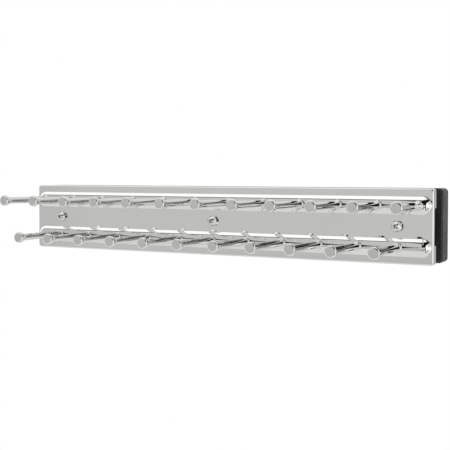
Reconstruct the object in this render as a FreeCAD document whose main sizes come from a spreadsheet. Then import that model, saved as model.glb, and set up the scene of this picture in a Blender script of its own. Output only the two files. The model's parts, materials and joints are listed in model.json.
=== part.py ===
import FreeCAD, Part
import math
import os
import re

import Sketcher

# Pull-out tie rack. A chromed peg panel runs sideways on a ball slide in a black wall base.
# The origin is the middle of the base's wall face: the wall is the plane Y = 0, the pegs point
# along -Y, +X is the pull-out direction and +Z is up. The rack is pushed home.

UPPER_PEGS = 12
LOWER_PEGS = UPPER_PEGS - 1
BALLS_IN_ROW = 11
SCREWS_IN_ROW = 3
BASE_RIBS = 12
NEAR = 1e-4

# Driving dimensions in millimetres: name, size, meaning
DIMENSIONS = [
    ("plate_length", 356.0, "front plate, end to end"),
    ("plate_height", 55.2, "front plate, top to bottom"),
    ("plate_gauge", 1.2, "sheet of the front plate"),
    ("plate_bend", 1.4, "outside radius of the bend round the plate's face"),
    ("plate_corner", 2.2, "corner radius of the plate seen from the front"),
    ("flange_depth", 6.0, "plate face to the rear edge of its flanges"),
    ("notch_clearance", 1.0, "outer rail to the notch in each end flange"),
    ("notch_corner", 1.5, "corner radius of the notch"),
    ("lip_depth", 1.6, "what the notch leaves of the end flange"),
    ("bead_width", 13.0, "bead at its foot"),
    ("bead_height", 2.5, "bead crest above the plate face"),
    ("bead_inset", 1.75, "plate end to bead end"),
    ("bead_round", 0.8, "radius along the foot of a bead"),
    ("peg_inset", 10.75, "plate end to the first upper peg"),
    ("peg_reach", 57.75, "plate face to peg tip"),
    ("shank_diameter", 5.5, "peg shank"),
    ("head_diameter", 8.8, "peg head"),
    ("head_round", 1.15, "radius round the peg's face"),
    ("head_rim", 2.8, "peg head, tip to the end of its straight side"),
    ("head_taper", 4.6, "cone from the head to the shank"),
    ("root_round", 1.0, "flare of the shank where it meets the bead"),
    ("tenon_diameter", 3.6, "peg tenon in the plate"),
    ("tenon_play", 0.05, "round the tenon and under the root of the peg"),
    ("rivet_diameter", 5.4, "peened end of the tenon"),
    ("rivet_height", 0.9, "peened end of the tenon"),
    ("screw_inset", 26.75, "plate end to the first plate screw"),
    ("screw_diameter", 4.0, "plate screw thread"),
    ("screw_length", 7.0, "plate screw under its head"),
    ("screw_head", 8.4, "plate screw head, across"),
    ("screw_head_height", 4.4, "plate screw head"),
    ("screw_rim", 2.2, "straight side of the screw head"),
    ("cross_length", 4.4, "cross recess, end to end"),
    ("cross_width", 1.0, "cross recess, one slot"),
    ("cross_depth", 2.2, "cross recess"),
    ("screw_play", 0.15, "round a plate screw in the plate and the rail"),
    ("thread_play", 0.05, "round a screw in what it is screwed into"),
    ("nut_width", 7.0, "weld nut, across flats"),
    ("nut_height", 3.2, "weld nut"),
    ("rail_inset", 3.0, "plate end to rail end"),
    ("rail_height", 25.0, "outer rail, over its races"),
    ("rail_gauge", 1.0, "sheet of the rails"),
    ("rail_bend", 1.6, "outside bend radius of the rails"),
    ("lip_clearance", 3.2, "plate lip to the front edge of the outer rail"),
    ("ball_diameter", 3.5, "bearing ball"),
    ("ball_play", 0.05, "round a ball in its races"),
    ("ball_pitch", 9.0, "ball to ball"),
    ("race_depth", 0.6, "race below the flat of the flange"),
    ("flange_lead", 1.65, "front edge of the outer rail to its race"),
    ("flange_tail", 0.5, "race to the rear edge of the inner rail"),
    ("cage_gauge", 0.8, "sheet of the ball cage"),
    ("cage_bend", 1.4, "outside bend radius of the cage"),
    ("cage_margin", 5.0, "last ball to the end of the cage"),
    ("cage_play", 0.1, "round a ball in the cage"),
    ("cage_edge", 0.9, "cage sheet in front of the ball holes"),
    ("cage_clearance", 0.5, "inner rail to cage web"),
    ("stop_width", 8.0, "stop tabs and closed stop"),
    ("stop_overlap", 0.6, "stop tabs over the cage web"),
    ("stop_length", 5.0, "outer rail end to the end of the inner rail"),
    ("stop_gap", 0.3, "closed stop to the inner rail"),
    ("stop_height", 6.5, "closed stop in front of the rail"),
    ("stem_diameter", 3.6, "stem of the closed stop"),
    ("stem_head", 5.0, "head of that stem, behind the rail"),
    ("stem_head_height", 1.2, "head of that stem, behind the rail"),
    ("stem_play", 0.05, "round the stem and under its head"),
    ("rail_screw_inset", 42.0, "rail end to its first screw"),
    ("rail_screw_diameter", 2.9, "rail screw thread"),
    ("rail_screw_length", 9.0, "rail screw under its head"),
    ("rail_screw_head", 7.0, "rail screw head, across"),
    ("rail_screw_head_height", 1.4, "rail screw head"),
    ("rail_screw_clearance", 0.75, "rail screw head to the cage"),
    ("base_overhang", 1.5, "base past each plate end"),
    ("base_step", 0.15, "plate edge above the base edge"),
    ("base_depth", 16.2, "base, wall to front face"),
    ("base_wall", 2.5, "moulded walls of the base"),
    ("base_corner", 3.0, "corner radius of the base seen from the front"),
    ("base_edge", 1.5, "radius round the front of the base"),
    ("plate_clearance", 13.5, "plate flanges to the front of the base"),
    ("seat_diameter", 16.0, "raised seats for the outer rail on the front of the base"),
    ("rib_gauge", 1.8, "ribs inside the base"),
    ("rib_gap", 1.0, "ribs below the wall face"),
    ("rib_inset", 30.0, "base end to the first rib"),
    ("post_diameter", 8.0, "posts for the rail screws"),
    ("post_cap", 1.0, "post past the end of its hole"),
    ("pilot_room", 0.6, "hole in a post past the end of its screw"),
    ("wall_boss", 12.0, "bosses for the wall screws"),
    ("wall_bore", 5.0, "holes for the wall screws"),
    ("wall_counterbore", 9.0, "seat for a wall screw's head"),
    ("wall_counterbore_depth", 3.0, "seat for a wall screw's head"),
    ("wall_hole_inset", 42.3, "base end to the first wall screw"),
    ("wall_hole_spacing", 190.0, "between wall screws along the base"),
]

# Places and sizes that follow from the driving dimensions
PLATE_Y = "-(base_depth + plate_clearance + flange_depth)"
SLIDE_Y = f"({PLATE_Y} + plate_gauge)"
# a row of pegs lies midway between the heads of the plate screws and the bend of the plate
ROW_Z = "((plate_height / 2 - plate_bend + screw_head / 2) / 2)"
PEG_START = "-(plate_length / 2 - peg_inset)"
PEG_PITCH = f"((plate_length - 2 * peg_inset) / {UPPER_PEGS - 1})"
# a bead is an arc in section, and its ends are caps of a ball of that radius
BEAD_RADIUS = "(((bead_width / 2)^2 + bead_height^2) / (2 * bead_height))"
BEAD_INSIDE = f"({BEAD_RADIUS} - plate_gauge)"
BEAD_CENTRE = f"({BEAD_RADIUS} - bead_height)"
BEAD_END = "(plate_length / 2 - bead_inset - bead_width / 2)"
SCREW_START = "-(plate_length / 2 - screw_inset)"
SCREW_SPAN = "(plate_length - 2 * screw_inset)"
RAIL_LENGTH = "(plate_length - 2 * rail_inset)"
RAIL_SCREW_START = f"-({RAIL_LENGTH} / 2 - rail_screw_inset)"
RAIL_SCREW_SPAN = f"({RAIL_LENGTH} - 2 * rail_screw_inset)"

# A race is an arc round the ball centre; the flats of a flange stand off that centre by RACE_FLAT
RACE_RADIUS = "(ball_diameter / 2 + ball_play)"
RACE_BACK = f"({RACE_RADIUS} + rail_gauge)"
RACE_FLAT = f"({RACE_RADIUS} - race_depth)"
RACE_FLAT_BACK = f"({RACE_FLAT} + rail_gauge)"
RACE_CHORD = f"sqrt({RACE_RADIUS}^2 - {RACE_FLAT}^2)"
RACE_BACK_CHORD = f"sqrt({RACE_BACK}^2 - {RACE_FLAT_BACK}^2)"
BALL_Z = f"(rail_height / 2 - {RACE_BACK})"

# The slide from front to back, from the plate's back: edge of the outer rail, balls, edge of the inner
# rail, cage, heads of the rail screws, web of the outer rail
OUTER_FRONT = "(lip_depth + lip_clearance - plate_gauge)"
BALL_Y = f"({OUTER_FRONT} + flange_lead + {RACE_BACK_CHORD})"
INNER_REAR = f"({BALL_Y} + {RACE_BACK_CHORD} + flange_tail)"
CAGE_WEB = f"({INNER_REAR} + cage_clearance)"
OUTER_WEB = f"({CAGE_WEB} + cage_gauge + rail_screw_clearance + rail_screw_head_height)"
SLIDE_REAR = f"({OUTER_WEB} + rail_gauge)"

CAGE_LENGTH = f"({BALLS_IN_ROW - 1} * ball_pitch + 2 * cage_margin)"
BALL_START = f"-({BALLS_IN_ROW - 1} * ball_pitch / 2)"
BALL_HOLE = "(ball_diameter / 2 + cage_play)"
# the cage is always as far from the stop tab of one rail as from that of the other
CAGE_X = "stop_length / 2"

BASE_LENGTH = "(plate_length + 2 * base_overhang)"
BASE_HEIGHT = "(plate_height - 2 * base_step)"
SEAT_RISE = f"(flange_depth + plate_clearance - plate_gauge - {SLIDE_REAR})"
WALL_HOLE_X = f"-({BASE_LENGTH} / 2 - wall_hole_inset)"
WALL_HOLE_Z = f"((rail_height + {BASE_HEIGHT}) / 4)"
PILOT_DEPTH = "(rail_screw_length - rail_gauge + pilot_room)"

doc = FreeCAD.newDocument("tie_rack")
sheet = doc.addObject("Spreadsheet::Sheet", "Sizes")
for row, (alias, size, meaning) in enumerate(DIMENSIONS, start=1):
    sheet.set(f"A{row}", meaning)
    sheet.set(f"B{row}", str(size))
    sheet.setAlias(f"B{row}", alias)
doc.recompute()

pieces = []


def formula(text):
    """The text as an expression in the sheet's cells: every size has an underscore in its name."""
    return re.sub(r"[a-z]+(?:_[a-z]+)+", lambda name: "Sizes." + name.group(), str(text))


def value(text):
    """What the formula comes to."""
    return float(sheet.evalExpression(formula(text)))


def bind(item, prop, text):
    item.setExpression(prop, formula(text))


def minus(text):
    return f"-({text})"


# Bodies, sketches and features


def new_body(label, x="0", y="0", z="0"):
    """A sub-part with its own origin at x, y, z."""
    body = doc.addObject("PartDesign::Body", label)
    body.Label = label
    body.AllowCompound = True
    for axis, text in (("x", x), ("y", y), ("z", z)):
        bind(body, "Placement.Base." + axis, text)
    pieces.append(body)
    return body


def origin_feature(body, role):
    return next(item for item in body.Origin.OriginFeatures if item.Role == role)


def new_sketch(body, plane, offset="0", rise="0"):
    """A sketch on an origin plane, moved along the plane's normal: -Y for XZ_Plane, +X for YZ_Plane.

    Its own origin may lie a rise up the plane.
    """
    sketch = body.newObject("Sketcher::SketchObject", body.Label + "_sketch")
    sketch.AttachmentSupport = [(origin_feature(body, plane), "")]
    sketch.MapMode = "FlatFace"
    bind(sketch, "AttachmentOffset.Base.y", rise)
    bind(sketch, "AttachmentOffset.Base.z", offset)
    return sketch


def hold_point(sketch, shape, end, x, y):
    """Hold a point of a sketched shape at x, y from the sketch's origin."""
    for kind, text in (("DistanceX", x), ("DistanceY", y)):
        number = sketch.addConstraint(Sketcher.Constraint(kind, -1, 1, shape, end, value(text)))
        bind(sketch, f"Constraints[{number}]", text)


def hold_radius(sketch, shape, radius):
    number = sketch.addConstraint(Sketcher.Constraint("Radius", shape, value(radius)))
    bind(sketch, f"Constraints[{number}]", radius)


def draw_circle(sketch, x, y, radius):
    centre = FreeCAD.Vector(value(x), value(y), 0)
    shape = sketch.addGeometry(Part.Circle(centre, FreeCAD.Vector(0, 0, 1), value(radius)))
    hold_point(sketch, shape, 3, x, y)
    hold_radius(sketch, shape, radius)


def draw_path(sketch, path):
    """A closed outline through the stations of the path, each (x, y) or (x, y, centre x, centre y, radius).

    A station with a centre and a radius starts an arc of under a half circle to the next one.
    """
    drawn = []
    points = [FreeCAD.Vector(value(station[0]), value(station[1]), 0) for station in path]
    for index, station in enumerate(path):
        start = points[index]
        stop = points[(index + 1) % len(path)]
        if len(station) == 2:
            shape = sketch.addGeometry(Part.LineSegment(start, stop))
            drawn.append((shape, 1, 2))
            continue
        centre = FreeCAD.Vector(value(station[2]), value(station[3]), 0)
        circle = Part.Circle(centre, FreeCAD.Vector(0, 0, 1), value(station[4]))
        turns_left = (start - centre).cross(stop - centre).z > 0
        first, last = (start, stop) if turns_left else (stop, start)
        arc = Part.ArcOfCircle(circle, circle.parameter(first), circle.parameter(last))
        shape = sketch.addGeometry(arc)
        hold_radius(sketch, shape, station[4])
        drawn.append((shape, 1, 2) if turns_left else (shape, 2, 1))
    for index, (shape, start_end, stop_end) in enumerate(drawn):
        following, following_end, _ = drawn[(index + 1) % len(drawn)]
        sketch.addConstraint(Sketcher.Constraint("Coincident", shape, stop_end, following, following_end))
        hold_point(sketch, shape, start_end, path[index][0], path[index][1])


def block(x_low, x_high, y_low, y_high):
    return [(x_low, y_low), (x_high, y_low), (x_high, y_high), (x_low, y_high)]


def rounded_block(half_x, half_y, radius):
    """A rectangle about the origin with round corners."""
    in_x = f"({half_x} - {radius})"
    in_y = f"({half_y} - {radius})"
    return [
        (half_x, minus(in_y)),
        (half_x, in_y, in_x, in_y, radius),
        (in_x, half_y),
        (minus(in_x), half_y, minus(in_x), in_y, radius),
        (minus(half_x), in_y),
        (minus(half_x), minus(in_y), minus(in_x), minus(in_y), radius),
        (minus(in_x), minus(half_y)),
        (in_x, minus(half_y), in_x, minus(in_y), radius),
    ]


def mirrored(half):
    """The lower half of a section that is the same above and below the x axis, walked back to its start."""
    lower = []
    for index in reversed(range(len(half))):
        station = (half[index][0], minus(half[index][1]))
        arc = half[index - 1][2:] if index > 0 else ()
        if arc:
            station += (arc[0], minus(arc[1]), arc[2])
        lower.append(station)
    return lower


def settle(body, feature):
    body.Tip = feature
    doc.recompute()
    return feature


def add_pad(body, sketch, length, **settings):
    """Material along the sketch's normal, or against it with Reversed."""
    pad = body.newObject("PartDesign::Pad", body.Label + "_pad")
    pad.Profile = sketch
    bind(pad, "Length", length)
    for name, setting in settings.items():
        setattr(pad, name, setting)
    return settle(body, pad)


def add_pocket(body, sketch, length, taper="0", **settings):
    """A cut against the sketch's normal, or along it with Reversed."""
    before = body.Tip.Shape.Volume
    pocket = body.newObject("PartDesign::Pocket", body.Label + "_pocket")
    pocket.Profile = sketch
    bind(pocket, "Length", length)
    bind(pocket, "TaperAngle", taper)
    for name, setting in settings.items():
        setattr(pocket, name, setting)
    settle(body, pocket)
    if pocket.Shape.Volume >= before:
        raise RuntimeError(f"{pocket.Name} cuts nothing")
    return pocket


def add_turning(body, path):
    """A piece turned about its own Y axis: the path holds (y, radius)."""
    sketch = new_sketch(body, "YZ_Plane")
    draw_path(sketch, path)
    turning = body.newObject("PartDesign::Revolution", body.Label + "_turning")
    turning.Profile = sketch
    turning.ReferenceAxis = (sketch, ["H_Axis"])
    turning.Angle = 360
    return settle(body, turning)


def add_half_turn(body, path, x, z, kind, backwards):
    """Material (Revolution) or a cut (Groove) turned half round a line along Y at x, z.

    The path holds (y, radius).
    """
    sketch = new_sketch(body, "YZ_Plane", x, z)
    draw_path(sketch, path)
    turn = body.newObject("PartDesign::" + kind, body.Label + "_end")
    turn.Profile = sketch
    turn.ReferenceAxis = (sketch, ["H_Axis"])
    turn.Angle = 180
    turn.Reversed = backwards
    return settle(body, turn)


def add_section(body, half, length, shift="0"):
    """A formed section, the same above and below its middle, run along X about the shifted middle."""
    sketch = new_sketch(body, "YZ_Plane", shift)
    draw_path(sketch, half + mirrored(half))
    return add_pad(body, sketch, length, SideType="Symmetric")


def add_row(body, features, span, count):
    """Repeat features along X so that the last copy is a span away from the first."""
    row = body.newObject("PartDesign::LinearPattern", body.Label + "_row")
    row.Originals = features
    row.Direction = (origin_feature(body, "X_Axis"), [""])
    row.Occurrences = count
    bind(row, "Length", span)
    return settle(body, row)


def round_edges(body, radius, chosen):
    """Round the edges for which chosen holds true."""
    base = body.Tip
    names = [f"Edge{n}" for n, edge in enumerate(base.Shape.Edges, start=1) if chosen(edge)]
    if not names:
        raise RuntimeError(f"{body.Label} has no edge to round there")
    fillet = body.newObject("PartDesign::Fillet", body.Label + "_round")
    fillet.Base = (base, names)
    bind(fillet, "Radius", radius)
    return settle(body, fillet)


def lies_at_y(edge, depth):
    return all(math.isclose(vertex.Y, depth, abs_tol=NEAR) for vertex in edge.Vertexes)


def lies_within_z(edge, height):
    return all(abs(vertex.Z) < height + NEAR for vertex in edge.Vertexes)


# Chromed front plate: its own origin is the middle of its front face


def make_front_plate():
    body = new_body("front_plate", y=PLATE_Y)
    half_length = "plate_length / 2"
    half_height = "plate_height / 2"

    pan = new_sketch(body, "XZ_Plane")
    draw_path(pan, rounded_block(half_length, half_height, "plate_corner"))
    add_pad(body, pan, "flange_depth", Reversed=True)
    round_edges(body, "plate_bend", lambda edge: lies_at_y(edge, 0))

    hollow = new_sketch(body, "XZ_Plane", "-plate_gauge")
    draw_path(
        hollow,
        rounded_block(
            f"({half_length} - plate_gauge)",
            f"({half_height} - plate_gauge)",
            "(plate_corner - plate_gauge)",
        ),
    )
    add_pocket(body, hollow, "flange_depth")
    sheet_back = value("plate_gauge")
    round_edges(body, "plate_bend - plate_gauge", lambda edge: lies_at_y(edge, sheet_back))

    notch = new_sketch(body, "YZ_Plane", minus(half_length))
    notch_half = "(rail_height / 2 + notch_clearance)"
    arc_y = "lip_depth + notch_corner"
    arc_z = f"({notch_half} - notch_corner)"
    draw_path(
        notch,
        [
            ("lip_depth", minus(arc_z)),
            ("lip_depth", arc_z, arc_y, arc_z, "notch_corner"),
            (arc_y, notch_half),
            ("2 * flange_depth", notch_half),
            ("2 * flange_depth", minus(notch_half)),
            (arc_y, minus(notch_half), arc_y, minus(arc_z), "notch_corner"),
        ],
    )
    add_pocket(body, notch, "plate_length", Reversed=True)

    press_beads(body)

    first_row = new_sketch(body, "XZ_Plane", "bead_height")
    tenon_hole = "tenon_diameter / 2 + tenon_play"
    draw_circle(first_row, PEG_START, ROW_Z, tenon_hole)
    upper_hole = add_pocket(body, first_row, "bead_height + plate_gauge")
    add_row(body, [upper_hole], f"{PEG_PITCH} * {UPPER_PEGS - 1}", UPPER_PEGS)

    second_row = new_sketch(body, "XZ_Plane", "bead_height")
    draw_circle(second_row, f"{PEG_START} + {PEG_PITCH} / 2", minus(ROW_Z), tenon_hole)
    lower_hole = add_pocket(body, second_row, "bead_height + plate_gauge")
    add_row(body, [lower_hole], f"{PEG_PITCH} * {LOWER_PEGS - 1}", LOWER_PEGS)

    screw_hole = new_sketch(body, "XZ_Plane")
    draw_circle(screw_hole, SCREW_START, "0", "screw_diameter / 2 + screw_play")
    first_screw = add_pocket(body, screw_hole, "plate_gauge")
    add_row(body, [first_screw], SCREW_SPAN, SCREWS_IN_ROW)


def bead_chord(face, radius):
    """Half the width of a bead's arc where it meets the given face of the sheet."""
    return f"sqrt({radius}^2 - ({BEAD_CENTRE} - {face})^2)"


def bead_section(middle, face, radius, root):
    """The arc of a bead from the given face of the sheet, closed at the given root behind that face."""
    low = f"{middle} - {bead_chord(face, radius)}"
    high = f"{middle} + {bead_chord(face, radius)}"
    return [(root, low), (face, low, BEAD_CENTRE, middle, radius), (face, high), (root, high)]


def bead_cap(face, radius, root):
    """Half of that section, for turning about the middle of the bead."""
    crest = f"{BEAD_CENTRE} - {radius}"
    rim = bead_chord(face, radius)
    return [(root, "0"), (crest, "0", BEAD_CENTRE, "0", radius), (face, rim), (root, rim)]


def press_beads(body):
    """Two hollow arched beads of the sheet's own gauge, with round ends."""
    outside = ("0", BEAD_RADIUS, "plate_gauge / 2")
    inside = ("plate_gauge", BEAD_INSIDE, "2 * plate_gauge")
    for middle in (ROW_Z, minus(ROW_Z)):
        crest = new_sketch(body, "YZ_Plane")
        draw_path(crest, bead_section(middle, *outside))
        add_pad(body, crest, f"2 * {BEAD_END}", SideType="Symmetric")
        for end, backwards in ((BEAD_END, False), (minus(BEAD_END), True)):
            add_half_turn(body, bead_cap(*outside), end, middle, "Revolution", backwards)
        hollow = new_sketch(body, "YZ_Plane")
        draw_path(hollow, bead_section(middle, *inside))
        add_pocket(body, hollow, f"2 * {BEAD_END}", SideType="Symmetric")
        for end, backwards in ((BEAD_END, False), (minus(BEAD_END), True)):
            add_half_turn(body, bead_cap(*inside), end, middle, "Groove", backwards)
    foot_z = value(f"{ROW_Z} + bead_width / 2")
    round_edges(body, "bead_round", lambda edge: lies_at_y(edge, 0) and lies_within_z(edge, foot_z))


# Turned pegs: the origin of each is where its shank meets the crest of the bead


def make_peg(label, x, z):
    body = new_body(label, x=x, y=f"{PLATE_Y} - bead_height", z=z)
    tip = "(bead_height - peg_reach)"
    head = "head_diameter / 2"
    shank = "shank_diameter / 2"
    root = f"({shank} + root_round)"
    # the flare is cut to the arch of the bead, which falls away by the sag at its rim
    sag = f"({BEAD_RADIUS} - sqrt({BEAD_RADIUS}^2 - {root}^2))"
    add_turning(
        body,
        [
            (tip, "0"),
            (tip, f"{head} - head_round", f"{tip} + head_round", f"{head} - head_round", "head_round"),
            (f"{tip} + head_round", head),
            (f"{tip} + head_rim", head),
            (f"{tip} + head_rim + head_taper", shank),
            ("-root_round", shank, "-root_round", root, "root_round"),
            ("0", root),
            (sag, root),
            (sag, "0"),
        ],
    )
    saddle = new_sketch(body, "YZ_Plane")
    saddle_radius = f"({BEAD_RADIUS} + tenon_play)"
    saddle_chord = f"sqrt({saddle_radius}^2 - ({BEAD_RADIUS} - {sag})^2)"
    draw_path(
        saddle,
        [(sag, minus(saddle_chord), BEAD_RADIUS, "0", saddle_radius), (sag, saddle_chord)],
    )
    add_pocket(body, saddle, "2 * head_diameter", SideType="Symmetric")

    # the tenon is peened over behind the sheet, where its rim meets the hollow of the bead
    peened = f"({BEAD_RADIUS} - sqrt({BEAD_INSIDE}^2 - (rivet_diameter / 2)^2))"
    add_turning(
        body,
        [
            ("-root_round", "0"),
            ("-root_round", "tenon_diameter / 2"),
            (peened, "tenon_diameter / 2"),
            (peened, "rivet_diameter / 2"),
            (f"{peened} + rivet_height", "rivet_diameter / 2 - rivet_height"),
            (f"{peened} + rivet_height", "0"),
        ],
    )


def make_pegs():
    for index in range(UPPER_PEGS):
        make_peg(f"peg_upper_{index + 1:02d}", f"{PEG_START} + {PEG_PITCH} * {index}", ROW_Z)
    for index in range(LOWER_PEGS):
        make_peg(f"peg_lower_{index + 1:02d}", f"{PEG_START} + {PEG_PITCH} * {index + 0.5}", minus(ROW_Z))


# Screws through the plate, and the nuts that they reach


def make_plate_screws():
    body = new_body("plate_screws", x=SCREW_START, y=PLATE_Y)
    thread = "screw_diameter / 2"
    head = "screw_head / 2"
    crown = "(screw_head_height - screw_rim)"
    dome = f"((({head})^2 + {crown}^2) / (2 * {crown}))"
    screw = add_turning(
        body,
        [
            ("-screw_head_height", "0", f"{dome} - screw_head_height", "0", dome),
            ("-screw_rim", head),
            ("0", head),
            ("0", thread),
            ("screw_length", thread),
            ("screw_length", "0"),
        ],
    )
    cross = new_sketch(body, "XZ_Plane", "screw_head_height")
    long_arm = "cross_length / 2"
    short_arm = "cross_width / 2"
    draw_path(
        cross,
        [
            (long_arm, minus(short_arm)),
            (long_arm, short_arm),
            (short_arm, short_arm),
            (short_arm, long_arm),
            (minus(short_arm), long_arm),
            (minus(short_arm), short_arm),
            (minus(long_arm), short_arm),
            (minus(long_arm), minus(short_arm)),
            (minus(short_arm), minus(short_arm)),
            (minus(short_arm), minus(long_arm)),
            (short_arm, minus(long_arm)),
            (short_arm, minus(short_arm)),
        ],
    )
    recess = add_pocket(body, cross, "cross_depth")
    add_row(body, [screw, recess], SCREW_SPAN, SCREWS_IN_ROW)


def make_rail_nuts():
    body = new_body("rail_nuts", x=SCREW_START, y=f"{SLIDE_Y} + rail_gauge")
    flat = "nut_width / 2"
    point = "nut_width / sqrt(3)"
    half_side = "nut_width / sqrt(12)"
    outline = new_sketch(body, "XZ_Plane")
    draw_path(
        outline,
        [
            (flat, minus(half_side)),
            (flat, half_side),
            ("0", point),
            (minus(flat), half_side),
            (minus(flat), minus(half_side)),
            ("0", minus(point)),
        ],
    )
    draw_circle(outline, "0", "0", "screw_diameter / 2 + thread_play")
    nut = add_pad(body, outline, "nut_height", Reversed=True)
    add_row(body, [nut], SCREW_SPAN, SCREWS_IN_ROW)


# Ball slide: all its pieces share an origin at the middle of the plate's back


def make_inner_rail():
    """The moving member: its web lies on the plate and its flanges run back inside the outer rail."""
    body = new_body("inner_rail", y=SLIDE_Y)
    flat = f"({BALL_Z} - {RACE_FLAT})"
    flat_back = f"({BALL_Z} - {RACE_FLAT_BACK})"
    inside_bend = "(rail_bend - rail_gauge)"
    length = f"({RAIL_LENGTH} - stop_length)"
    add_section(
        body,
        [
            ("0", f"{flat} - rail_bend", "rail_bend", f"{flat} - rail_bend", "rail_bend"),
            ("rail_bend", flat),
            (f"{BALL_Y} - {RACE_CHORD}", flat, BALL_Y, BALL_Z, RACE_RADIUS),
            (f"{BALL_Y} + {RACE_CHORD}", flat),
            (INNER_REAR, flat),
            (INNER_REAR, flat_back),
            (f"{BALL_Y} + {RACE_BACK_CHORD}", flat_back, BALL_Y, BALL_Z, RACE_BACK),
            (f"{BALL_Y} - {RACE_BACK_CHORD}", flat_back),
            ("rail_bend", flat_back, "rail_bend", f"{flat_back} - {inside_bend}", inside_bend),
            ("rail_gauge", f"{flat_back} - {inside_bend}"),
        ],
        length,
        "stop_length / 2",
    )
    tab = new_sketch(body, "YZ_Plane", f"stop_length - {RAIL_LENGTH} / 2")
    draw_path(
        tab,
        block("rail_gauge", f"{CAGE_WEB} + stop_overlap", "-stop_width / 2", "stop_width / 2"),
    )
    add_pad(body, tab, "rail_gauge")
    hole = new_sketch(body, "XZ_Plane")
    draw_circle(hole, SCREW_START, "0", "screw_diameter / 2 + screw_play")
    first_hole = add_pocket(body, hole, "rail_gauge")
    add_row(body, [first_hole], SCREW_SPAN, SCREWS_IN_ROW)


def make_outer_rail():
    """The fixed member: its web lies on the base and its flanges run forward round the balls."""
    body = new_body("outer_rail", y=SLIDE_Y)
    flat = f"({BALL_Z} + {RACE_FLAT})"
    flat_back = f"({BALL_Z} + {RACE_FLAT_BACK})"
    inside_bend = "(rail_bend - rail_gauge)"
    bend_y = f"({SLIDE_REAR} - rail_bend)"
    add_section(
        body,
        [
            (SLIDE_REAR, f"{flat_back} - rail_bend", bend_y, f"{flat_back} - rail_bend", "rail_bend"),
            (bend_y, flat_back),
            (f"{BALL_Y} + {RACE_BACK_CHORD}", flat_back, BALL_Y, BALL_Z, RACE_BACK),
            (f"{BALL_Y} - {RACE_BACK_CHORD}", flat_back),
            (OUTER_FRONT, flat_back),
            (OUTER_FRONT, flat),
            (f"{BALL_Y} - {RACE_CHORD}", flat, BALL_Y, BALL_Z, RACE_RADIUS),
            (f"{BALL_Y} + {RACE_CHORD}", flat),
            (bend_y, flat, bend_y, f"{flat} - {inside_bend}", inside_bend),
            (OUTER_WEB, f"{flat} - {inside_bend}"),
        ],
        RAIL_LENGTH,
    )
    tab = new_sketch(body, "YZ_Plane", f"{RAIL_LENGTH} / 2 - rail_gauge")
    draw_path(
        tab,
        block(f"{CAGE_WEB} + cage_gauge - stop_overlap", OUTER_WEB, "-stop_width / 2", "stop_width / 2"),
    )
    add_pad(body, tab, "rail_gauge")
    hole = new_sketch(body, "XZ_Plane", minus(OUTER_WEB))
    draw_circle(hole, RAIL_SCREW_START, "0", "rail_screw_diameter / 2 + screw_play")
    first_hole = add_pocket(body, hole, "rail_gauge")
    add_row(body, [first_hole], RAIL_SCREW_SPAN, SCREWS_IN_ROW)
    stem_hole = new_sketch(body, "XZ_Plane", minus(OUTER_WEB))
    draw_circle(stem_hole, f"stop_length / 2 - {RAIL_LENGTH} / 2", "0", "stem_diameter / 2 + stem_play")
    add_pocket(body, stem_hole, "rail_gauge")


def make_ball_cage():
    """The retainer: a sheet channel with a hole round every ball."""
    body = new_body("ball_cage", x=CAGE_X, y=SLIDE_Y)
    outside = f"({BALL_Z} + cage_gauge / 2)"
    inside = f"({BALL_Z} - cage_gauge / 2)"
    inside_bend = "(cage_bend - cage_gauge)"
    rear = f"({CAGE_WEB} + cage_gauge)"
    front = f"({BALL_Y} - {BALL_HOLE} - cage_edge)"
    bend_y = f"({rear} - cage_bend)"
    add_section(
        body,
        [
            (rear, f"{outside} - cage_bend", bend_y, f"{outside} - cage_bend", "cage_bend"),
            (bend_y, outside),
            (front, outside),
            (front, inside),
            (bend_y, inside, bend_y, f"{inside} - {inside_bend}", inside_bend),
            (CAGE_WEB, f"{inside} - {inside_bend}"),
        ],
        CAGE_LENGTH,
    )
    hole = new_sketch(body, "XY_Plane")
    draw_circle(hole, BALL_START, BALL_Y, BALL_HOLE)
    first_hole = add_pocket(body, hole, "rail_height", SideType="Symmetric")
    add_row(body, [first_hole], f"{BALLS_IN_ROW - 1} * ball_pitch", BALLS_IN_ROW)


def make_balls(label, z):
    body = new_body(label, x=f"{CAGE_X} + {BALL_START}", y=f"{SLIDE_Y} + {BALL_Y}", z=z)
    ball = body.newObject("PartDesign::AdditiveSphere", label + "_ball")
    bind(ball, "Radius", "ball_diameter / 2")
    settle(body, ball)
    add_row(body, [ball], f"{BALLS_IN_ROW - 1} * ball_pitch", BALLS_IN_ROW)


def make_closed_stop():
    """A rubber block at the rear end of the outer rail, with a headed stem through the rail."""
    body = new_body("closed_stop", x=f"-{RAIL_LENGTH} / 2", y=f"{SLIDE_Y} + {OUTER_WEB}")
    face = new_sketch(body, "XZ_Plane")
    draw_path(face, block("0", "stop_length - stop_gap", "-stop_width / 2", "stop_width / 2"))
    add_pad(body, face, "stop_height")
    stem = new_sketch(body, "XZ_Plane")
    draw_circle(stem, "stop_length / 2", "0", "stem_diameter / 2")
    under_head = "(rail_gauge + stem_play)"
    add_pad(body, stem, under_head, Reversed=True)
    stem_head = new_sketch(body, "XZ_Plane", minus(under_head))
    draw_circle(stem_head, "stop_length / 2", "0", "stem_head / 2")
    add_pad(body, stem_head, "stem_head_height", Reversed=True)


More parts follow.
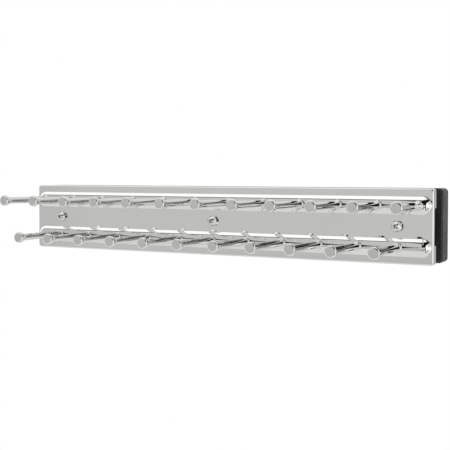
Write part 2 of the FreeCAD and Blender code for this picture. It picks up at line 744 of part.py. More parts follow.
def make_outer_rail_screws():
    body = new_body("outer_rail_screws", x=RAIL_SCREW_START, y=f"{SLIDE_Y} + {OUTER_WEB}")
    head = "rail_screw_head / 2"
    thread = "rail_screw_diameter / 2"
    screw = add_turning(
        body,
        [
            ("-rail_screw_head_height", "0"),
            ("-rail_screw_head_height", f"{head} - rail_screw_head_height / 2"),
            ("-rail_screw_head_height / 2", head),
            ("0", head),
            ("0", thread),
            (f"rail_screw_length - {thread}", thread),
            ("rail_screw_length", "0"),
        ],
    )
    add_row(body, [screw], RAIL_SCREW_SPAN, SCREWS_IN_ROW)


# Black base: its own origin is the middle of its wall face


def make_base_housing():
    body = new_body("base_housing")
    half_length = f"({BASE_LENGTH} / 2)"
    half_height = f"({BASE_HEIGHT} / 2)"

    shell = new_sketch(body, "XZ_Plane")
    draw_path(shell, rounded_block(half_length, half_height, "base_corner"))
    add_pad(body, shell, "base_depth")
    front = -value("base_depth")
    round_edges(body, "base_edge", lambda edge: lies_at_y(edge, front))

    inside_length = f"({half_length} - base_wall)"
    inside_height = f"({half_height} - base_wall)"
    inside = new_sketch(body, "XZ_Plane")
    draw_path(inside, block(minus(inside_length), inside_length, minus(inside_height), inside_height))
    add_pocket(body, inside, "base_depth - base_wall", Reversed=True)

    # seats for the rail stand on the front wall, and ribs, posts and bosses behind it
    floor = "(base_depth - base_wall)"
    seat = new_sketch(body, "XZ_Plane", floor)
    draw_circle(seat, RAIL_SCREW_START, "0", "seat_diameter / 2")
    first_seat = add_pad(body, seat, f"base_wall + {SEAT_RISE}")
    add_row(body, [first_seat], RAIL_SCREW_SPAN, SCREWS_IN_ROW)

    rib = new_sketch(body, "XZ_Plane", floor)
    rib_x = f"(rib_inset - {half_length})"
    draw_path(
        rib,
        block(
            f"{rib_x} - rib_gauge / 2", f"{rib_x} + rib_gauge / 2", minus(inside_height), inside_height
        ),
    )
    first_rib = add_pad(body, rib, f"{floor} - rib_gap", Reversed=True)
    add_row(body, [first_rib], f"{BASE_LENGTH} - 2 * rib_inset", BASE_RIBS)
    spine = new_sketch(body, "XZ_Plane", floor)
    draw_path(spine, block(minus(inside_length), inside_length, "-rib_gauge / 2", "rib_gauge / 2"))
    add_pad(body, spine, f"{floor} - rib_gap", Reversed=True)

    post = new_sketch(body, "XZ_Plane", floor)
    draw_circle(post, RAIL_SCREW_START, "0", "post_diameter / 2")
    post_length = f"{PILOT_DEPTH} + post_cap - {SEAT_RISE} - base_wall"
    first_post = add_pad(body, post, post_length, Reversed=True)
    add_row(body, [first_post], RAIL_SCREW_SPAN, SCREWS_IN_ROW)

    wall_holes = [
        (f"{WALL_HOLE_X} + {step_count} * wall_hole_spacing", z)
        for step_count in (0, 1)
        for z in (WALL_HOLE_Z, minus(WALL_HOLE_Z))
    ]
    bosses = new_sketch(body, "XZ_Plane")
    for x, z in wall_holes:
        draw_circle(bosses, x, z, "wall_boss / 2")
    add_pad(body, bosses, floor)

    bores = new_sketch(body, "XZ_Plane")
    seats = new_sketch(body, "XZ_Plane", "base_depth")
    for x, z in wall_holes:
        draw_circle(bores, x, z, "wall_bore / 2")
        draw_circle(seats, x, z, "wall_counterbore / 2")
    add_pocket(body, bores, "base_depth", Reversed=True)
    add_pocket(body, seats, "wall_counterbore_depth")

    pilot = new_sketch(body, "XZ_Plane", f"base_depth + {SEAT_RISE}")
    draw_circle(pilot, RAIL_SCREW_START, "0", "rail_screw_diameter / 2 + thread_play")
    first_pilot = add_pocket(body, pilot, PILOT_DEPTH)
    add_row(body, [first_pilot], RAIL_SCREW_SPAN, SCREWS_IN_ROW)


def write_parts():
    """Write every sub-part, once the whole document is sound."""
    doc.recompute()
    for item in doc.Objects:
        if "Invalid" in item.State or "Error" in item.State:
            raise RuntimeError(f"{item.Label} failed: {item.State}")
    for body in pieces:
        if body.Shape.isNull() or not body.Shape.isValid():
            raise RuntimeError(f"{body.Label} has no valid shape")
    os.makedirs("parts", exist_ok=True)
    for body in pieces:
        body.Shape.exportStep(f"parts/{body.Label}.step")
        print(body.Label, len(body.Shape.Solids), round(body.Shape.Volume, 1))


make_base_housing()
make_outer_rail()
make_outer_rail_screws()
make_closed_stop()
make_ball_cage()
make_balls("balls_upper", BALL_Z)
make_balls("balls_lower", minus(BALL_Z))
make_inner_rail()
make_rail_nuts()
make_front_plate()
make_plate_screws()
make_pegs()
write_parts()
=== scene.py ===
import json
import math
from collections import namedtuple

import bmesh
import bpy
from mathutils import Matrix, Vector


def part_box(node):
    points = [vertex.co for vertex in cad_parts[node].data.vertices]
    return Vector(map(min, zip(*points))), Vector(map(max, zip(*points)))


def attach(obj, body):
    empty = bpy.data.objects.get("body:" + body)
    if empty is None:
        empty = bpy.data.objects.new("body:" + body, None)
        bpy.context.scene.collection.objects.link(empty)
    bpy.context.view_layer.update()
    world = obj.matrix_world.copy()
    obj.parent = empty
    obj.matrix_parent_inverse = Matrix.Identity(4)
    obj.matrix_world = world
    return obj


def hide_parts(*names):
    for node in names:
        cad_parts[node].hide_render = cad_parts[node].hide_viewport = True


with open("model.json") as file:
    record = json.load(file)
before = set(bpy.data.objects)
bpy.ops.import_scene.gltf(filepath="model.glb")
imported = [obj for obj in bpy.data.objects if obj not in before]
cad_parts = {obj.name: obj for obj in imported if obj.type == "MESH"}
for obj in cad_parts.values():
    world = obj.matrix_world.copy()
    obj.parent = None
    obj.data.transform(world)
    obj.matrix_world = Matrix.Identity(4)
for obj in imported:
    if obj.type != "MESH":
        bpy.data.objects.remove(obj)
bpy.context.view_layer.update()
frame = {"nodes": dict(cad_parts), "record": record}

# Pull-out tie rack: chromed peg panel on a ball slide in a black wall base.
# Metres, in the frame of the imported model: the wall is Y = 0, the pegs point along -Y, +Z is up.

MM = 0.001
IMAGE_SIDE = 450

# Camera, from the photograph: it stands in front, to the right of the middle and a little above. Its line of
# sight passes the target by CAMERA_RIGHT and CAMERA_UP, and the picture is shifted as a cropped one is.
TARGET = Vector((0.0, -35.7, 0.0)) * MM
CAMERA_YAW = math.radians(27.53)
CAMERA_PITCH = math.radians(1.48)
CAMERA_ROLL = math.radians(0.12)
CAMERA_DISTANCE = 695.1 * MM
CAMERA_RIGHT = 9.7 * MM
CAMERA_UP = 18.4 * MM
FOCAL_PIXELS = 865.0
FRAME_SHIFT = -0.06
SENSOR = 36.0
CLIP_START = 10 * MM

# Floor, and the levels of the even light on everything, of white in a mirror and of the floor's own glow
FLOOR_DROP = 0.6
FLOOR_RADIUS = 0.7
FLOOR_SIDES = 96
FLOOR_COLOUR = (0.85, 0.85, 0.85)
FLOOR_ROUGHNESS = 0.9
WORLD_LEVEL = 0.85
MIRRORED_WHITE = 1.25
FLOOR_GLOW = 0.1

# What the metal mirrors round the rack, in degrees: azimuth from the front to the right and elevation, each
# as (low, high), the softness of the border, and the level. A zone that leans moves to the right by that
# many degrees with each degree above its lower border. The borders of a level zone run along the rack: its
# elevation is measured square to the rack. Later zones lie over earlier ones.
Zone = namedtuple("Zone", "name azimuth elevation softness level lean is_level", defaults=(0.0, False))
SURROUNDINGS = [
    Zone("pale floor", (-200, 200), (-100, -30), 10, 0.82),
    Zone("side of the room, right", (42, 260), (8, 89), 14, 0.77, -0.5),
    Zone("backdrop above, left", (-260, -110), (2, 100), 14, 0.84, 0.9),
    Zone("foot of the backdrop, left", (-260, -130), (-42, 8), 6, 0.65),
    Zone("foot of the backdrop, right", (91, 260), (-28, 16), 14, 0.48, -0.45),
    Zone("grey wall in front", (-140, 4), (-32, 38), 8, 0.64, is_level=True),
    Zone("wall further left", (-140, -38), (-32, 36), 5, 0.58, is_level=True),
    Zone("shade at the foot of the wall", (-75, 8), (-28, -5.2), 2, 0.55),
    Zone("gap under the overhead light", (-100, 12), (39.5, 47.5), 4, 0.12, is_level=True),
    Zone("floor below the camera", (4, 28), (-52, -16), 6, 0.55, 0.8),
]

# Dark cards behind the camera, which only mirrors show: corners in millimetres to the right and above it
CARD_BEHIND = 30 * MM
CARD_COLOUR = (0.01, 0.01, 0.01)
CARDS = {
    "card_upright": [(-36, 425), (70, 330), (76, -655), (-28, -400)],
    "card_forked": [
        (-400, 0), (-36, 0), (-36, 41), (30, 45), (200, 310), (345, 380), (470, 640), (355, 765), (-36, 703),
        (-36, 800), (-400, 800), (-400, 600), (-595, 770), (-500, 560), (-400, 425),
    ],
    "card_low": [(-20, -110), (-20, -190), (-300, -450), (-340, -400)],
}

# Colours of the finishes; a pair gives the two ends of a mottled one
CHROME = (0.80, 0.80, 0.787)
PEG_FACE = (0.69, 0.69, 0.68)
NICKEL = (0.75, 0.745, 0.735)
BALL_STEEL = (0.70, 0.70, 0.71)
CAGE_ZINC = (0.66, 0.65, 0.60)
FASTENER_ZINC = (0.60, 0.61, 0.62)
RAIL_COAT = ((0.014, 0.014, 0.015), (0.030, 0.030, 0.031))
TRACK_STEEL = (0.34, 0.34, 0.35)
MOULDING = ((0.022, 0.022, 0.023), (0.048, 0.048, 0.049))
# Lighter colour along the moulding's front and end edges: partly wear, partly a painted highlight where the
# rounded edges catch light
MOULDING_EDGE_WEAR_AND_HIGHLIGHT = (0.085, 0.085, 0.086)
RUBBER = ((0.022, 0.022, 0.022), (0.045, 0.044, 0.042))

# Most values of a noise lie in NOISE_SPAN. The rings on a peg's face are FACE_OVER_SHANK times as deep as
# those of its shank. The edge wear and painted edge highlight start and are full at the sums in
# FACES_AT_EDGE of the nearness to each face.
NOISE_SPAN = (0.3, 0.7)
FACE_OVER_SHANK = 3.0
FACES_AT_EDGE = (1.25, 1.95)

# Screws with a cross recess, in millimetres: the dome of the head is above its straight rim, the recess
# narrows towards its floor, and each screw of a row is turned by its own angle, in degrees
Screw = namedtuple(
    "Screw", "node body head dome rim edge thread core pitch length cross cross_width cross_depth turns"
)
SCREWS = [
    Screw(
        node="plate_screws", body="rack", head=8.4, dome=2.2, rim=2.2, edge=0.25, thread=4.0, core=3.3,
        pitch=0.7, length=7.0, cross=4.6, cross_width=1.1, cross_depth=2.2, turns=(52, 20, 38),
    ),
    Screw(
        node="outer_rail_screws", body="base", head=7.0, dome=0.9, rim=0.5, edge=0.15, thread=2.9, core=2.2,
        pitch=1.1, length=9.0, cross=3.6, cross_width=0.9, cross_depth=1.0, turns=(10, 65, 33),
    ),
]
SCREW_SIDES = 64
DOME_STEPS = 12
THREAD_STEPS = 8
CROSS_ARMS = 4
CROSS_TAPER = 0.45
SMOOTH_BELOW = math.radians(32)
WELD = 0.004 * MM


# Node helpers


def give(tree, socket, source):
    """Link an input to the output of another node, or set it to a number or colour."""
    if isinstance(source, bpy.types.NodeSocket):
        tree.links.new(source, socket)
    else:
        socket.default_value = source


def add_node(tree, kind, inputs=None, **settings):
    """A shader node; inputs holds numbers, colours or the outputs of other nodes by input name or place."""
    node = tree.nodes.new(kind)
    for name, setting in settings.items():
        setattr(node, name, setting)
    for name, source in (inputs or {}).items():
        give(tree, node.inputs[name], source)
    return node


def calc(tree, operation, first, second=0.0):
    node = add_node(tree, "ShaderNodeMath", {0: first, 1: second}, operation=operation)
    return node.outputs[0]


def spread(tree, value, low, high, start=0.0, stop=1.0, smooth=True):
    """Map value from low..high to start..stop, held at both ends."""
    node = add_node(
        tree,
        "ShaderNodeMapRange",
        {"Value": value, "From Min": low, "From Max": high, "To Min": start, "To Max": stop},
        interpolation_type="SMOOTHSTEP" if smooth else "LINEAR",
    )
    return node.outputs[0]


def choose(tree, switch, off, on):
    """The value off where the switch is 0, and on where it is 1."""
    return spread(tree, switch, 0.0, 1.0, start=off, stop=on, smooth=False)


def band(tree, value, limits, softness):
    """1 between the limits and 0 outside, with soft borders."""
    low, high = limits
    rise = spread(tree, value, low - softness / 2, low + softness / 2)
    fall = spread(tree, value, high - softness / 2, high + softness / 2, start=1.0, stop=0.0)
    return calc(tree, "MULTIPLY", rise, fall)


def places(tree):
    """Coordinates in the row frame, in metres."""
    return add_node(tree, "ShaderNodeTexCoord").outputs["Object"]


def split(tree, vector):
    """The X, Y and Z of a vector, as outputs by name."""
    return add_node(tree, "ShaderNodeSeparateXYZ", {0: vector}).outputs


def noise(tree, vector, grain, detail=2.0, stretch=(1.0, 1.0, 1.0)):
    """Noise with features of about the size grain, longer along an axis whose stretch is above 1."""
    scale = [1.0 / (grain * s) for s in stretch]
    mapping = add_node(tree, "ShaderNodeMapping", {"Vector": vector, "Scale": scale})
    node = add_node(
        tree, "ShaderNodeTexNoise", {"Vector": mapping.outputs[0], "Scale": 1.0, "Detail": detail}
    )
    return node.outputs["Fac"]


def blend(tree, first, second, share):
    """A mixture of two values, of which the second has the given share."""
    return calc(
        tree, "ADD", calc(tree, "MULTIPLY", first, 1 - share), calc(tree, "MULTIPLY", second, share)
    )


def bump(tree, height, distance, below=None):
    """A normal from a height, whose 0 to 1 stands for the distance, over another normal if one is given."""
    inputs = {"Height": height, "Distance": distance, "Strength": 1.0}
    if below is not None:
        inputs["Normal"] = below
    return add_node(tree, "ShaderNodeBump", inputs).outputs[0]


def opaque(colour):
    return (*colour, 1.0)


def tint(tree, factor, first, second):
    """A colour between two, each of which is a colour or the output of another node."""
    ends = [end if isinstance(end, bpy.types.NodeSocket) else opaque(end) for end in (first, second)]
    node = add_node(
        tree, "ShaderNodeMix", {"Factor": factor, "A": ends[0], "B": ends[1]}, data_type="RGBA"
    )
    return node.outputs["Result"]


def around(colour, darker, lighter):
    """A darker and a lighter shade of a colour."""
    return [tuple(channel * factor for channel in colour) for factor in (darker, lighter)]


def new_material(name):
    """A material with an empty principled shader."""
    material = bpy.data.materials.new(name)
    material.use_nodes = True
    tree = material.node_tree
    tree.nodes.clear()
    shader = add_node(tree, "ShaderNodeBsdfPrincipled")
    add_node(tree, "ShaderNodeOutputMaterial", {"Surface": shader.outputs[0]})
    return material, tree, shader


def feed(tree, shader, **sources):
    """Numbers, colours or outputs for the shader's inputs, by name with _ for a space."""
    for name, source in sources.items():
        give(tree, shader.inputs[name.replace("_", " ")], source)


# Materials, one for each slot of the record


def bright_plate(name, colour, haze, wave_height, wave_length):
    """Bright plating: a clear mirror with faint haze, wiping marks and the waviness of the metal below."""
    material, tree, shader = new_material(name)
    where = places(tree)
    patches = noise(tree, where, grain=30 * MM, detail=3.0)
    marks = noise(tree, where, grain=0.6 * MM, stretch=(14.0, 1.0, 1.0))
    waves = noise(tree, where, grain=wave_length, detail=1.0)
    wiped = blend(tree, patches, marks, share=0.3)
    feed(
        tree,
        shader,
        Base_Color=tint(tree, patches, *around(colour, darker=0.97, lighter=1.03)),
        Metallic=1.0,
        Roughness=spread(tree, wiped, *NOISE_SPAN, start=haze * 0.5, stop=haze * 1.5),
        Normal=bump(tree, waves, distance=wave_height),
    )
    return material


def chrome_plate():
    return bright_plate("chrome_plate", CHROME, haze=0.02, wave_height=0.012 * MM, wave_length=22 * MM)


def nickel_screw():
    return bright_plate("nickel_screw", NICKEL, haze=0.05, wave_height=0.004 * MM, wave_length=2 * MM)


def polished_ball():
    return bright_plate("polished_ball", BALL_STEEL, haze=0.06, wave_height=0.001 * MM, wave_length=1 * MM)


def off_axis(tree, where):
    """Distance of a place on a peg from the axis of that peg, in metres."""
    low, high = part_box("peg_upper_01")
    beside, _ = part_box("peg_upper_02")
    first = (low + high) / 2
    pitch = beside.x - low.x
    axes = split(tree, where)
    is_lower = calc(tree, "LESS_THAN", axes["Z"], 0.0)
    from_first = calc(tree, "DIVIDE", calc(tree, "SUBTRACT", axes["X"], first.x), pitch)
    in_row = calc(tree, "ADD", from_first, calc(tree, "MULTIPLY", is_lower, 0.5))
    across = calc(tree, "MULTIPLY", calc(tree, "SUBTRACT", in_row, calc(tree, "ROUND", in_row)), pitch)
    above = calc(tree, "SUBTRACT", calc(tree, "ABSOLUTE", axes["Z"]), first.z)
    square = calc(tree, "ADD", calc(tree, "POWER", across, 2.0), calc(tree, "POWER", above, 2.0))
    return calc(tree, "SQRT", square)


def chrome_peg():
    """Bright plating over turned steel: rings round the shank, and a duller face with rings of its own."""
    material, tree, shader = new_material("chrome_peg")
    where = places(tree)
    patches = noise(tree, where, grain=12 * MM, detail=3.0)
    waves = noise(tree, where, grain=6 * MM, detail=1.0)
    rings = noise(tree, where, grain=0.5 * MM, stretch=(400.0, 1.0, 400.0))
    blotches = noise(tree, where, grain=1.5 * MM, detail=3.0)
    from_axis = add_node(tree, "ShaderNodeCombineXYZ", {"X": off_axis(tree, where)})
    cut = noise(tree, from_axis.outputs[0], grain=0.35 * MM, detail=3.0)
    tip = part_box("peg_upper_01")[0].y
    behind_tip = calc(tree, "SUBTRACT", split(tree, where)["Y"], tip)
    face = spread(tree, behind_tip, low=0.02 * MM, high=0.10 * MM, start=1.0, stop=0.0)
    dull = calc(tree, "MULTIPLY", face, spread(tree, blotches, *NOISE_SPAN, start=0.55))
    plating = tint(tree, patches, *around(CHROME, darker=0.97, lighter=1.03))
    face_rings = calc(tree, "MULTIPLY", calc(tree, "MULTIPLY", face, cut), FACE_OVER_SHANK)
    relief = calc(tree, "ADD", rings, face_rings)
    feed(
        tree,
        shader,
        Base_Color=tint(tree, dull, plating, PEG_FACE),
        Metallic=1.0,
        Roughness=spread(tree, dull, low=0.0, high=1.0, start=0.015, stop=0.16),
        Normal=bump(tree, relief, distance=0.0004 * MM, below=bump(tree, waves, distance=0.003 * MM)),
    )
    return material


def zinc(name, colour, grain):
    """Zinc plate: a soft sheen with a fine crystal grain."""
    material, tree, shader = new_material(name)
    where = places(tree)
    crystals = noise(tree, where, grain, detail=4.0)
    stains = noise(tree, where, grain=12 * MM, detail=3.0)
    feed(
        tree,
        shader,
        Base_Color=tint(tree, stains, *around(colour, darker=0.86, lighter=1.08)),
        Metallic=1.0,
        Roughness=spread(tree, crystals, *NOISE_SPAN, start=0.28, stop=0.46),
        Normal=bump(tree, crystals, distance=0.01 * MM),
    )
    return material


def zinc_cage():
    return zinc("zinc_cage", CAGE_ZINC, grain=0.5 * MM)


def zinc_fastener():
    return zinc("zinc_fastener", FASTENER_ZINC, grain=0.35 * MM)


def black_rail():
    """Satin black coat on rolled steel: orange peel, faint lines along the travel, bare ball tracks."""
    material, tree, shader = new_material("black_rail")
    where = places(tree)
    peel = noise(tree, where, grain=0.8 * MM, detail=3.0)
    lines = noise(tree, where, grain=0.35 * MM, stretch=(90.0, 1.0, 1.0))
    axes = split(tree, where)
    low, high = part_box("balls_upper")
    beside_balls = band(tree, calc(tree, "ABSOLUTE", axes["Z"]), (low.z, high.z), softness=0.5 * MM)
    at_their_depth = band(tree, axes["Y"], (low.y, high.y), softness=0.5 * MM)
    rolled_on = calc(tree, "MULTIPLY", beside_balls, at_their_depth)
    track = calc(tree, "MULTIPLY", rolled_on, spread(tree, lines, low=0.30, high=0.55))
    feed(
        tree,
        shader,
        Base_Color=tint(tree, track, tint(tree, lines, *RAIL_COAT), TRACK_STEEL),
        Metallic=track,
        Roughness=spread(tree, lines, *NOISE_SPAN, start=0.30, stop=0.48),
        Normal=bump(tree, peel, distance=0.012 * MM),
    )
    return material


def edges_of(tree, where, node, reach):
    """1 along the front and end edges of a node's box, where two of its faces are in reach, else 0."""
    low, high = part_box(node)
    axes = split(tree, where)
    faces_near = spread(tree, axes["Y"], low.y, low.y + reach, start=1.0, stop=0.0)
    for axis in ("X", "Z"):
        half = getattr(high, axis.lower())
        out = calc(tree, "ABSOLUTE", axes[axis])
        faces_near = calc(tree, "ADD", faces_near, spread(tree, out, half - reach, half))
    return spread(tree, faces_near, *FACES_AT_EDGE)


def black_moulding():
    """Moulded black plastic: a fine grain over low swells, uneven gloss, some scuffs, and edges worn and
    painted lighter as a highlight.
    """
    material, tree, shader = new_material("black_moulding")
    where = places(tree)
    grain = noise(tree, where, grain=0.45 * MM, detail=4.0)
    swells = noise(tree, where, grain=2.6 * MM, detail=3.0)
    flow = noise(tree, where, grain=18 * MM, detail=3.0)
    scuffs = spread(tree, noise(tree, where, grain=1.6 * MM, detail=5.0), low=0.52, high=0.70)
    mottled = blend(tree, swells, flow, share=0.4)
    edges = edges_of(tree, where, "base_housing", reach=2.2 * MM)
    # Lighter colour along the front and end edges: wear, plus a painted highlight where the rounded edges
    # catch light, broken up by the grain
    worn_and_highlit = calc(tree, "MULTIPLY", edges, spread(tree, grain, low=0.25, high=0.5))
    feed(
        tree,
        shader,
        Base_Color=tint(tree, worn_and_highlit, tint(tree, scuffs, *MOULDING), MOULDING_EDGE_WEAR_AND_HIGHLIGHT),
        Roughness=spread(tree, mottled, low=0.35, high=0.65, start=0.28, stop=0.46),
        Specular_IOR_Level=0.42,
        Normal=bump(tree, grain, distance=0.02 * MM, below=bump(tree, swells, distance=0.10 * MM)),
    )
    return material


def black_rubber():
    """Matt black rubber with a little dust."""
    material, tree, shader = new_material("black_rubber")
    where = places(tree)
    grain = noise(tree, where, grain=0.25 * MM, detail=4.0)
    dust = noise(tree, where, grain=3 * MM, detail=3.0)
    feed(
        tree,
        shader,
        Base_Color=tint(tree, dust, *RUBBER),
        Roughness=spread(tree, dust, *NOISE_SPAN, start=0.70, stop=0.88),
        Normal=bump(tree, grain, distance=0.03 * MM),
    )
    return material


MATERIALS = {
    "chrome_plate": chrome_plate(),
    "chrome_peg": chrome_peg(),
    "nickel_screw": nickel_screw(),
    "polished_ball": polished_ball(),
    "zinc_cage": zinc_cage(),
    "zinc_fastener": zinc_fastener(),
    "black_rail": black_rail(),
    "black_moulding": black_moulding(),
    "black_rubber": black_rubber(),
}


def finish_nodes():
    """Give every node of the model the finish of its slot."""
    for part in frame["record"]["subparts"]:
        mesh = frame["nodes"][part["node"]].data
        mesh.materials.clear()
        mesh.materials.append(MATERIALS[part["material_slot"]])


# Screws


def head_rings(screw):
    """Rings of a screw's head about the Y axis, from near its top to its seat: Y and radius, in mm."""
    head = screw.head / 2
    shoulder = head - screw.edge
    ball = (shoulder ** 2 + screw.dome ** 2) / (2 * screw.dome)
    widest = math.asin(shoulder / ball)
    rings = []
    for step in range(1, DOME_STEPS + 1):
        angle = widest * step / DOME_STEPS
        below_top = ball * (1 - math.cos(angle))
        rings.append((below_top - screw.dome - screw.rim, ball * math.sin(angle)))
    rings.append((screw.edge - screw.rim, head))
    rings.append((-screw.edge / 2, head))
    rings.append((0.0, head - screw.edge / 2))
    rings.append((0.0, screw.core / 2))
    return rings


def screw_rings(screw):
    """Rings of a whole screw, from near the top of its head: Y and the radius at each side, in mm."""
    rings = [(y, [radius] * SCREW_SIDES) for y, radius in head_rings(screw)]
    core = screw.core / 2
    ridge = (screw.thread - screw.core) / 2
    steps = round((screw.length - screw.pitch) / screw.pitch * THREAD_STEPS)
    for step in range(1, steps + 1):
        y = step * screw.pitch / THREAD_STEPS
        fade = min(1.0, step / THREAD_STEPS, (steps - step) / THREAD_STEPS)
        radii = []
        for side in range(SCREW_SIDES):
            turn = (y / screw.pitch - side / SCREW_SIDES) % 1.0
            radii.append(core + ridge * fade * (1 - abs(2 * turn - 1)))
        rings.append((y, radii))
    return rings


def screw_solid(screw):
    """A whole screw about the Y axis, its seat at Y = 0, before the recess is cut."""
    shape = bmesh.new()
    top = shape.verts.new((0, -(screw.dome + screw.rim) * MM, 0))
    tip = shape.verts.new((0, screw.length * MM, 0))
    loops = []
    for y, radii in screw_rings(screw):
        loop = []
        for side, radius in enumerate(radii):
            angle = math.tau * side / SCREW_SIDES
            place = Vector((radius * math.cos(angle), y, radius * math.sin(angle)))
            loop.append(shape.verts.new(place * MM))
        loops.append(loop)
    for side in range(SCREW_SIDES):
        beside = (side + 1) % SCREW_SIDES
        shape.faces.new((top, loops[0][side], loops[0][beside]))
        shape.faces.new((tip, loops[-1][beside], loops[-1][side]))
        for one, other in zip(loops, loops[1:]):
            shape.faces.new((one[side], other[side], other[beside], one[beside]))
    bmesh.ops.recalc_face_normals(shape, faces=shape.faces)
    return shape


def cross_cutter(screw):
    """The space of a screw's recess: a cross that narrows from above the head to its floor."""
    above = -(screw.dome + screw.rim + screw.edge)
    floor = screw.cross_depth - screw.dome - screw.rim
    shape = bmesh.new()
    rims = []
    for y, share in ((above, 1.0), (floor, CROSS_TAPER)):
        reach = screw.cross / 2 * share
        half = screw.cross_width / 2 * (1 + share) / 2
        arm = [(reach, -half), (reach, half), (half, half)]
        corners = []
        for index in range(CROSS_ARMS):
            turn = Matrix.Rotation(math.tau * index / CROSS_ARMS, 2)
            corners += [turn @ Vector(corner) for corner in arm]
        rims.append([shape.verts.new(Vector((c.x, y, c.y)) * MM) for c in corners])
    upper, lower = rims
    shape.faces.new(upper)
    shape.faces.new(list(reversed(lower)))
    for corner in range(len(upper)):
        beside = (corner + 1) % len(upper)
        shape.faces.new((upper[corner], lower[corner], lower[beside], upper[beside]))
    bmesh.ops.recalc_face_normals(shape, faces=shape.faces)
    return shape


def mesh_of(shape, name):
    """A mesh from a bmesh, which is freed."""
    mesh = bpy.data.meshes.new(name)
    shape.to_mesh(mesh)
    shape.free()
    return mesh


def place_object(name, data):
    """An object with this mesh or camera, in the scene."""
    item = bpy.data.objects.new(name, data)
    bpy.context.scene.collection.objects.link(item)
    return item


def cut_screw(screw):
    """One screw with its recess cut, as a bmesh without slivers."""
    blank = place_object("blank", mesh_of(screw_solid(screw), "blank"))
    cutter = place_object("cutter", mesh_of(cross_cutter(screw), "cutter"))
    cut = blank.modifiers.new("recess", "BOOLEAN")
    cut.object = cutter
    cut.operation = "DIFFERENCE"
    cut.solver = "EXACT"
    mesh = bpy.data.meshes.new_from_object(blank.evaluated_get(bpy.context.evaluated_depsgraph_get()))
    shape = bmesh.new()
    shape.from_mesh(mesh)
    bmesh.ops.remove_doubles(shape, verts=shape.verts, dist=WELD)
    bmesh.ops.dissolve_degenerate(shape, edges=shape.edges, dist=WELD)
    spares = [blank.data, cutter.data, mesh]
    bpy.data.objects.remove(blank)
    bpy.data.objects.remove(cutter)
    for spare in spares:
        bpy.data.meshes.remove(spare)
    return shape


def make_screws(screw):
    """The row of screws that stands for a node: one at each end of its box and one in the middle."""
    slot = next(part["material_slot"] for part in frame["record"]["subparts"] if part["node"] == screw.node)
    low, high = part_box(screw.node)
    middle = (low + high) / 2
    first = low.x + screw.head / 2 * MM
    last = high.x - screw.head / 2 * MM
    seat = low.y + (screw.dome + screw.rim) * MM
    one = mesh_of(cut_screw(screw), "screw")
    row = bmesh.new()
    for x, degrees in zip((first, middle.x, last), screw.turns):
        place = Matrix.Translation((x, seat, middle.z)) @ Matrix.Rotation(math.radians(degrees), 4, "Y")
        copy = one.copy()
        copy.transform(place)
        row.from_mesh(copy)
        bpy.data.meshes.remove(copy)
    bpy.data.meshes.remove(one)
    name = f"{screw.node}_threaded"
    piece = place_object(name, mesh_of(row, name))
    piece.data.shade_smooth()
    piece.data.set_sharp_from_angle(angle=SMOOTH_BELOW)
    piece.data.materials.append(MATERIALS[slot])
    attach(piece, screw.body)
    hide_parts(screw.node)


# Floor, surroundings and camera


def seen_directly(tree, path):
    """1 for rays that show the background itself: straight to the camera, in a mirror or through glass."""
    camera_or_glossy = calc(tree, "MAXIMUM", path.outputs["Is Camera Ray"], path.outputs["Is Glossy Ray"])
    return calc(tree, "MAXIMUM", camera_or_glossy, path.outputs["Is Transmission Ray"])


def mirrored_level(tree):
    """How bright the surroundings are in each direction, as the metal shows them."""
    axes = split(tree, add_node(tree, "ShaderNodeTexCoord").outputs["Generated"])
    toward_front = calc(tree, "MULTIPLY", axes["Y"], -1.0)
    azimuth = calc(tree, "ARCTAN2", axes["X"], toward_front)
    elevation = calc(tree, "ARCSINE", axes["Z"])
    square_to_rack = calc(tree, "ARCTAN2", axes["Z"], toward_front)
    level = MIRRORED_WHITE
    for zone in SURROUNDINGS:
        border = math.radians(zone.softness)
        low = math.radians(zone.elevation[0])
        height = square_to_rack if zone.is_level else elevation
        shift = calc(tree, "MULTIPLY", calc(tree, "SUBTRACT", height, low), zone.lean)
        upright = calc(tree, "SUBTRACT", azimuth, shift)
        across = band(tree, upright, [math.radians(a) for a in zone.azimuth], border)
        along = band(tree, height, [math.radians(e) for e in zone.elevation], border)
        inside = calc(tree, "MULTIPLY", across, along)
        outside = calc(tree, "SUBTRACT", 1.0, inside)
        kept = calc(tree, "MULTIPLY", outside, level)
        level = calc(tree, "ADD", kept, calc(tree, "MULTIPLY", inside, zone.level))
    return level


def make_world():
    """White for the camera, a plain studio in mirrors and an even light on everything else."""
    world = bpy.data.worlds.new("studio")
    bpy.context.scene.world = world
    world.use_nodes = True
    tree = world.node_tree
    tree.nodes.clear()
    path = add_node(tree, "ShaderNodeLightPath")
    mirrored = choose(tree, path.outputs["Is Camera Ray"], mirrored_level(tree), 1.0)
    level = choose(tree, seen_directly(tree, path), WORLD_LEVEL, mirrored)
    background = add_node(tree, "ShaderNodeBackground", {"Color": (1, 1, 1, 1), "Strength": level})
    add_node(tree, "ShaderNodeOutputWorld", {"Surface": background.outputs[0]})


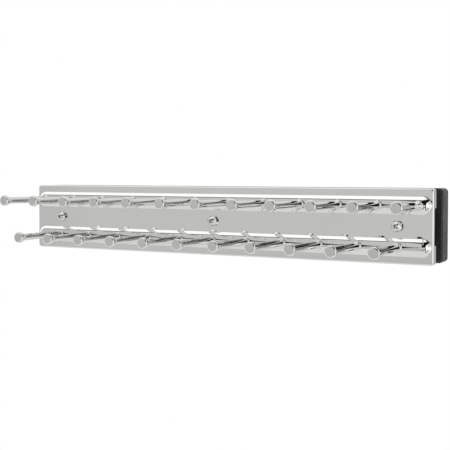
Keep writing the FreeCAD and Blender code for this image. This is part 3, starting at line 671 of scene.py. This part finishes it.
def make_floor():
    """A pale round floor well below the rack, which hangs on a wall."""
    shape = bmesh.new()
    bmesh.ops.create_circle(shape, cap_ends=True, segments=FLOOR_SIDES, radius=FLOOR_RADIUS)
    floor = place_object("floor", mesh_of(shape, "floor"))
    floor.location = (TARGET.x, TARGET.y, -FLOOR_DROP)
    material, tree, shader = new_material("floor_white")
    path = add_node(tree, "ShaderNodeLightPath")
    feed(
        tree,
        shader,
        Base_Color=opaque(FLOOR_COLOUR),
        Roughness=FLOOR_ROUGHNESS,
        Emission_Color=(1.0, 1.0, 1.0, 1.0),
        Emission_Strength=calc(tree, "MULTIPLY", seen_directly(tree, path), FLOOR_GLOW),
    )
    floor.data.materials.append(material)


def camera_axes():
    """The camera's forward, right and up, before its roll."""
    forward = Vector((
        -math.sin(CAMERA_YAW) * math.cos(CAMERA_PITCH),
        math.cos(CAMERA_YAW) * math.cos(CAMERA_PITCH),
        -math.sin(CAMERA_PITCH),
    ))
    right = Vector((math.cos(CAMERA_YAW), math.sin(CAMERA_YAW), 0.0))
    return forward, right, right.cross(forward)


def make_camera():
    """Set up the camera, and give its place."""
    forward, right, up = camera_axes()
    data = bpy.data.cameras.new("camera")
    data.sensor_width = SENSOR
    data.lens = FOCAL_PIXELS / IMAGE_SIDE * SENSOR
    data.shift_y = FRAME_SHIFT
    data.clip_start = CLIP_START
    camera = place_object("camera", data)
    camera.location = TARGET - forward * CAMERA_DISTANCE + right * CAMERA_RIGHT + up * CAMERA_UP
    level = forward.to_track_quat("-Z", "Y").to_matrix()
    camera.rotation_euler = (level @ Matrix.Rotation(CAMERA_ROLL, 3, "Z")).to_euler()
    bpy.context.scene.camera = camera
    return camera.location.copy()


def make_cards(eye):
    """The dark cards behind a camera at this place."""
    forward, right, up = camera_axes()
    material, tree, shader = new_material("card_black")
    feed(tree, shader, Base_Color=opaque(CARD_COLOUR), Roughness=1.0, Specular_IOR_Level=0.0)
    middle = eye - forward * CARD_BEHIND
    for name, corners in CARDS.items():
        mesh = bpy.data.meshes.new(name)
        points = [middle + right * across * MM + up * above * MM for across, above in corners]
        mesh.from_pydata(points, [], [range(len(points))])
        mesh.materials.append(material)
        card = place_object(name, mesh)
        card.visible_camera = False
        card.visible_diffuse = False
        card.visible_shadow = False


finish_nodes()
for kind in SCREWS:
    make_screws(kind)
make_world()
make_floor()
make_cards(make_camera())
bpy.context.scene.view_settings.view_transform = "Standard"
